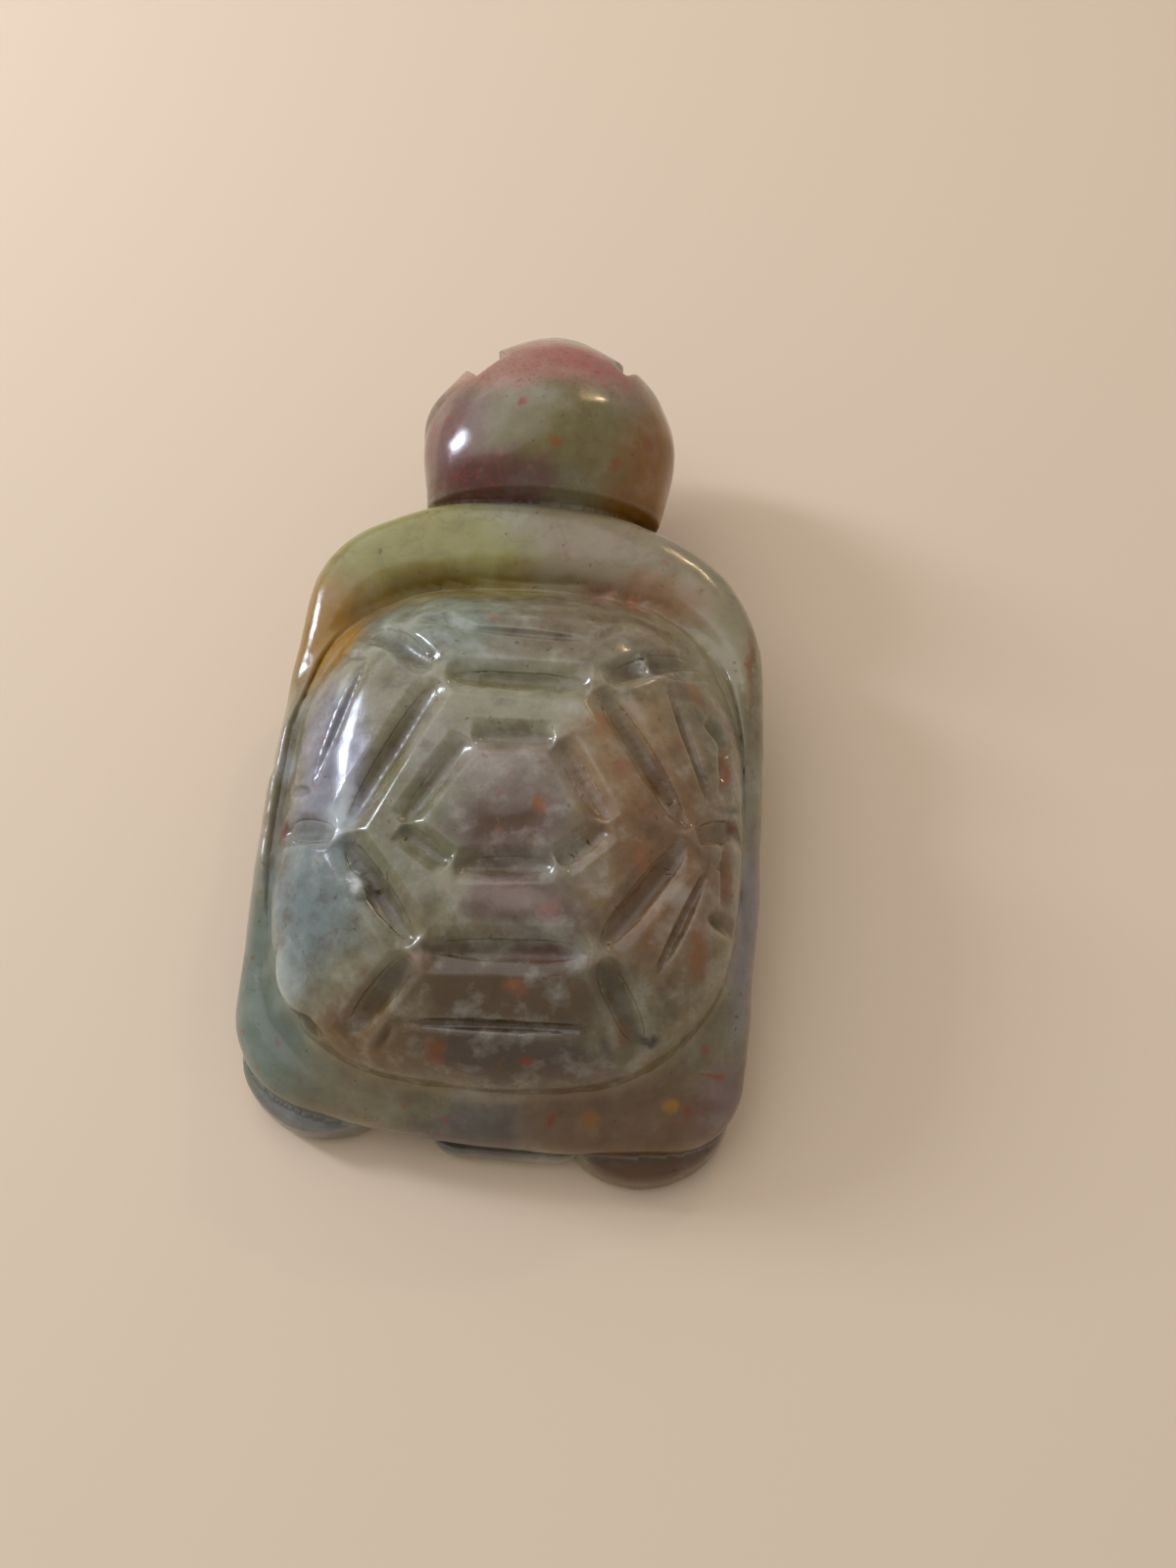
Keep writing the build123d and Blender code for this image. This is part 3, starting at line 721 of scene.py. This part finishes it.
def make_stone(name, points):
    """Polished serpentine with jasper and quartz in it. Light goes a little way in, so that cuts glow at their
    edges, and the stone takes a wet-looking polish on the high places and a duller one in the cuts. Its cuts
    and creases also carry painted shade, and their upper edges a painted highlight."""
    stone = bpy.data.materials.new("polished_serpentine_" + name)
    stone.use_nodes = True
    tree = stone.node_tree
    shader = tree.nodes["Principled BSDF"]
    place = add(tree, "ShaderNodeTexCoord")
    mm = add(tree, "ShaderNodeVectorMath", {"operation": "SCALE"}, _0=place.outputs["Object"], Scale=1000.0)
    # Clouds about 9 mm across push the zones' borders about, so that none is a plain oval.
    drift = add(tree, "ShaderNodeTexNoise", Vector=mm.outputs[0], Scale=DRIFT_PER_MM, Detail=5.0, Roughness=0.6)
    centred = add(tree, "ShaderNodeVectorMath", {"operation": "SUBTRACT"},
                  _0=drift.outputs["Color"], _1=(0.5, 0.5, 0.5))
    pushed = add(tree, "ShaderNodeVectorMath", {"operation": "MULTIPLY_ADD"},
                 _0=centred.outputs[0], _1=(DRIFT_PUSH_MM,) * 3, _2=mm.outputs[0])
    ripple = add(tree, "ShaderNodeTexNoise", Vector=mm.outputs[0], Scale=RIPPLE_PER_MM,
                 Detail=5.0, Roughness=0.65)
    balanced = add(tree, "ShaderNodeVectorMath", {"operation": "SUBTRACT"},
                   _0=ripple.outputs["Color"], _1=(0.5, 0.5, 0.5))
    nudged = add(tree, "ShaderNodeVectorMath", {"operation": "MULTIPLY_ADD"},
                 _0=balanced.outputs[0], _1=(RIPPLE_PUSH_MM,) * 3, _2=mm.outputs[0])
    broad = add(tree, "ShaderNodeTexNoise", Vector=pushed.outputs[0], Scale=BAND_PER_MM,
                Detail=6.0, Roughness=0.62)
    ramp = add(tree, "ShaderNodeValToRGB", Fac=broad.outputs["Fac"])
    stops = ramp.color_ramp.elements
    stops[0].position, stops[0].color = 0.34, linear("#6c5a3f")
    stops[1].position, stops[1].color = 0.66, linear("#938d7e")
    middle = stops.new(0.5)
    middle.color = linear("#82795a")
    colour = ramp.outputs["Color"]
    of_head = name in ("head", "neck")
    zones = HEAD_ZONES if of_head else ZONES
    milky_share, deep_share = (0.38, 0.55) if name == "carapace" else (0.14, 0.25)

    def mix(under, over, share):
        node = add(tree, "ShaderNodeMix", {"data_type": "RGBA"}, _0=share, _6=under, _7=over)
        return node.outputs[2]

    for centre, reach, code, share in touching(zones, points, ZONE_MARGIN_MM):
        spot = add(tree, "ShaderNodeMapping", {"vector_type": "TEXTURE"},
                   Vector=pushed.outputs[0], Location=centre, Scale=reach)
        far = add(tree, "ShaderNodeVectorMath", {"operation": "LENGTH"}, _0=spot.outputs[0])
        cover = add(tree, "ShaderNodeMapRange", {"interpolation_type": "SMOOTHSTEP"},
                    Value=far.outputs["Value"], From_Min=0.45, From_Max=1.25, To_Min=share, To_Max=0.0)
        colour = mix(colour, linear(code), cover.outputs["Result"])

    # Milky crystals about 3 mm across, strongest in the dome, and deeper stone between them.
    cloud = add(tree, "ShaderNodeTexNoise", Vector=mm.outputs[0], Scale=CRYSTAL_PER_MM,
                Detail=4.0, Roughness=0.6)
    milky = add(tree, "ShaderNodeMapRange", Value=cloud.outputs["Fac"],
                From_Min=0.52, From_Max=0.76, To_Max=milky_share)
    colour = mix(colour, linear("#bdb9ac"), milky.outputs["Result"])
    deep = add(tree, "ShaderNodeMapRange", Value=cloud.outputs["Fac"],
               From_Min=0.48, From_Max=0.28, To_Max=deep_share)
    colour = mix(colour, linear("#4a3822"), deep.outputs["Result"])

    # Iron stain: soft rusty patches of about 3 mm, and hair-thin veins.
    stain = add(tree, "ShaderNodeTexNoise", Vector=pushed.outputs[0], Scale=RUST_PER_MM,
                Detail=6.0, Roughness=0.75, Distortion=0.6)
    rusty = add(tree, "ShaderNodeMapRange", Value=stain.outputs["Fac"],
                From_Min=0.6, From_Max=0.74, To_Max=0.6)
    colour = mix(colour, linear("#8a5426"), rusty.outputs["Result"])
    vein = add(tree, "ShaderNodeTexNoise", Vector=pushed.outputs[0], Scale=VEIN_PER_MM,
               Detail=4.0, Roughness=0.55)
    off_line = add(tree, "ShaderNodeMath", {"operation": "SUBTRACT"}, _0=vein.outputs["Fac"], _1=0.5)
    ridge = add(tree, "ShaderNodeMath", {"operation": "ABSOLUTE"}, _0=off_line.outputs[0])
    thin = add(tree, "ShaderNodeMapRange", Value=ridge.outputs[0],
               From_Min=0.0, From_Max=0.006, To_Min=0.3, To_Max=0.0)
    colour = mix(colour, linear("#6a4426"), thin.outputs["Result"])

    def dots(colour, scale, inner, outer, least, code, where=None):
        """Round dots in some of the cells of a scatter; where is a share of the stone that has them."""
        cell = add(tree, "ShaderNodeTexVoronoi", {"feature": "F1"}, Vector=nudged.outputs[0], Scale=scale)
        near = add(tree, "ShaderNodeMapRange", Value=cell.outputs["Distance"],
                   From_Min=inner, From_Max=outer, To_Min=0.6, To_Max=0.0)
        pick = add(tree, "ShaderNodeSeparateColor", Color=cell.outputs["Color"])
        some = add(tree, "ShaderNodeMath", {"operation": "GREATER_THAN"}, _0=pick.outputs[0], _1=least)
        share = add(tree, "ShaderNodeMath", {"operation": "MULTIPLY"},
                    _0=near.outputs["Result"], _1=some.outputs[0])
        if where is not None:
            share = add(tree, "ShaderNodeMath", {"operation": "MULTIPLY"}, _0=share.outputs[0], _1=where)
        return mix(colour, linear(code), share.outputs[0])

    # Red-brown and dark flecks under a millimetre across.
    for fleck in FLECKS:
        colour = dots(colour, *fleck)
    # The pink parts of the head are full of red grains about 0.3 mm across.
    pink = None
    for centre, reach in touching(PINK_PARTS if of_head else (), points, ZONE_MARGIN_MM):
        spot = add(tree, "ShaderNodeMapping", {"vector_type": "TEXTURE"},
                   Vector=pushed.outputs[0], Location=centre, Scale=reach)
        far = add(tree, "ShaderNodeVectorMath", {"operation": "LENGTH"}, _0=spot.outputs[0])
        cover = add(tree, "ShaderNodeMapRange", Value=far.outputs["Value"],
                    From_Min=0.3, From_Max=1.2, To_Min=1.0, To_Max=0.0)
        if pink is None:
            pink = cover.outputs["Result"]
        else:
            pinker = add(tree, "ShaderNodeMath", {"operation": "MAXIMUM"}, _0=pink, _1=cover.outputs["Result"])
            pink = pinker.outputs[0]
    if pink is not None:
        for grain in PINK_GRAINS:
            colour = dots(colour, *grain, pink)
    for centre, reach, code, share in touching(SPOTS, points, SPOT_MARGIN_MM):
        spot = add(tree, "ShaderNodeMapping", {"vector_type": "TEXTURE"},
                   Vector=nudged.outputs[0], Location=centre, Scale=reach)
        far = add(tree, "ShaderNodeVectorMath", {"operation": "LENGTH"}, _0=spot.outputs[0])
        cover = add(tree, "ShaderNodeMapRange", {"interpolation_type": "SMOOTHSTEP"},
                    Value=far.outputs["Value"], From_Min=0.2, From_Max=1.2, To_Min=0.9 * share, To_Max=0.0)
        colour = mix(colour, linear(code), cover.outputs["Result"])

    # Painted shade: the floors of cuts and creases are painted darker, and they are duller; a painted highlight
    # makes the cuts' convex upper edges paler.
    hollow = add(tree, "ShaderNodeAttribute", {"attribute_name": "hollow"})
    # Painted shade in the floors of cuts and creases, by their depth.
    painted_shade_share = add(tree, "ShaderNodeMapRange", Value=hollow.outputs["Fac"],
                      From_Min=0.06, From_Max=0.5, To_Max=0.8)
    colour = mix(colour, linear("#47341b"), painted_shade_share.outputs["Result"])
    # Painted highlight: the convex upper edges of the cuts are painted paler.
    edge_share = add(tree, "ShaderNodeMapRange", Value=hollow.outputs["Fac"],
                     From_Min=-0.04, From_Max=-0.2, To_Max=0.16)
    colour = mix(colour, linear("#bdb6a6"), edge_share.outputs["Result"])
    tree.links.new(colour, shader.inputs["Base Color"])

    rough = add(tree, "ShaderNodeTexNoise", Vector=mm.outputs[0], Scale=POLISH_PER_MM,
                Detail=6.0, Roughness=0.65)
    polish = add(tree, "ShaderNodeMapRange", Value=rough.outputs["Fac"],
                 From_Min=0.3, From_Max=0.7, To_Min=0.1, To_Max=0.22)
    dull = add(tree, "ShaderNodeMapRange", Value=hollow.outputs["Fac"],
               From_Min=0.05, From_Max=0.4, To_Max=0.3)
    total = add(tree, "ShaderNodeMath", {"operation": "ADD"},
                _0=polish.outputs["Result"], _1=dull.outputs["Result"])
    tree.links.new(total.outputs[0], shader.inputs["Roughness"])
    # Pits and scratches of the last grit, about 0.4 mm apart.
    grit = add(tree, "ShaderNodeTexNoise", Vector=mm.outputs[0], Scale=GRIT_PER_MM, Detail=6.0, Roughness=0.7)
    bump = add(tree, "ShaderNodeBump", Height=grit.outputs["Fac"], Strength=0.25, Distance=GRIT_DEPTH_MM * MM)
    tree.links.new(bump.outputs[0], shader.inputs["Normal"])
    shader.inputs["IOR"].default_value = 1.52
    shader.inputs["Subsurface Weight"].default_value = 0.3
    shader.inputs["Subsurface Radius"].default_value = (1.0, 0.85, 0.6)
    shader.inputs["Subsurface Scale"].default_value = GLOW_DEPTH_MM * MM
    shader.inputs["Coat Weight"].default_value = 0.12
    shader.inputs["Coat Roughness"].default_value = 0.05
    return stone


make_camera()
make_floor()
make_light()
for number, (node, (voxel_mm, rounds)) in enumerate(FORMS.items()):
    piece = stone_copy(node, voxel_mm, rounds)
    root_into(piece, ROOTED_IN.get(node, ()))
    if node == "shell_rim":
        roll_collar(piece)
        fill_moat(piece, dome)
    if node == "carapace":
        widen_cuts(piece)
        press(piece, DOME_MARKS)
        roughen(piece, **CHIPPED_PLACE)
        dome = piece
    if node == "head":
        press(piece, HEAD_MARKS)
    for height_mm, size_mm, first_draw in HAND_WORK:
        hand_work(piece, height_mm, size_mm, number + first_draw)
    mark_hollows(piece)
    piece.data.shade_smooth()
    piece.data.materials.append(make_stone(node, read_points(piece)[0]))
    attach(piece, "root")
    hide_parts(node)

scene = bpy.context.scene
scene.view_settings.view_transform = "Standard"
bpy.context.view_layer.update()
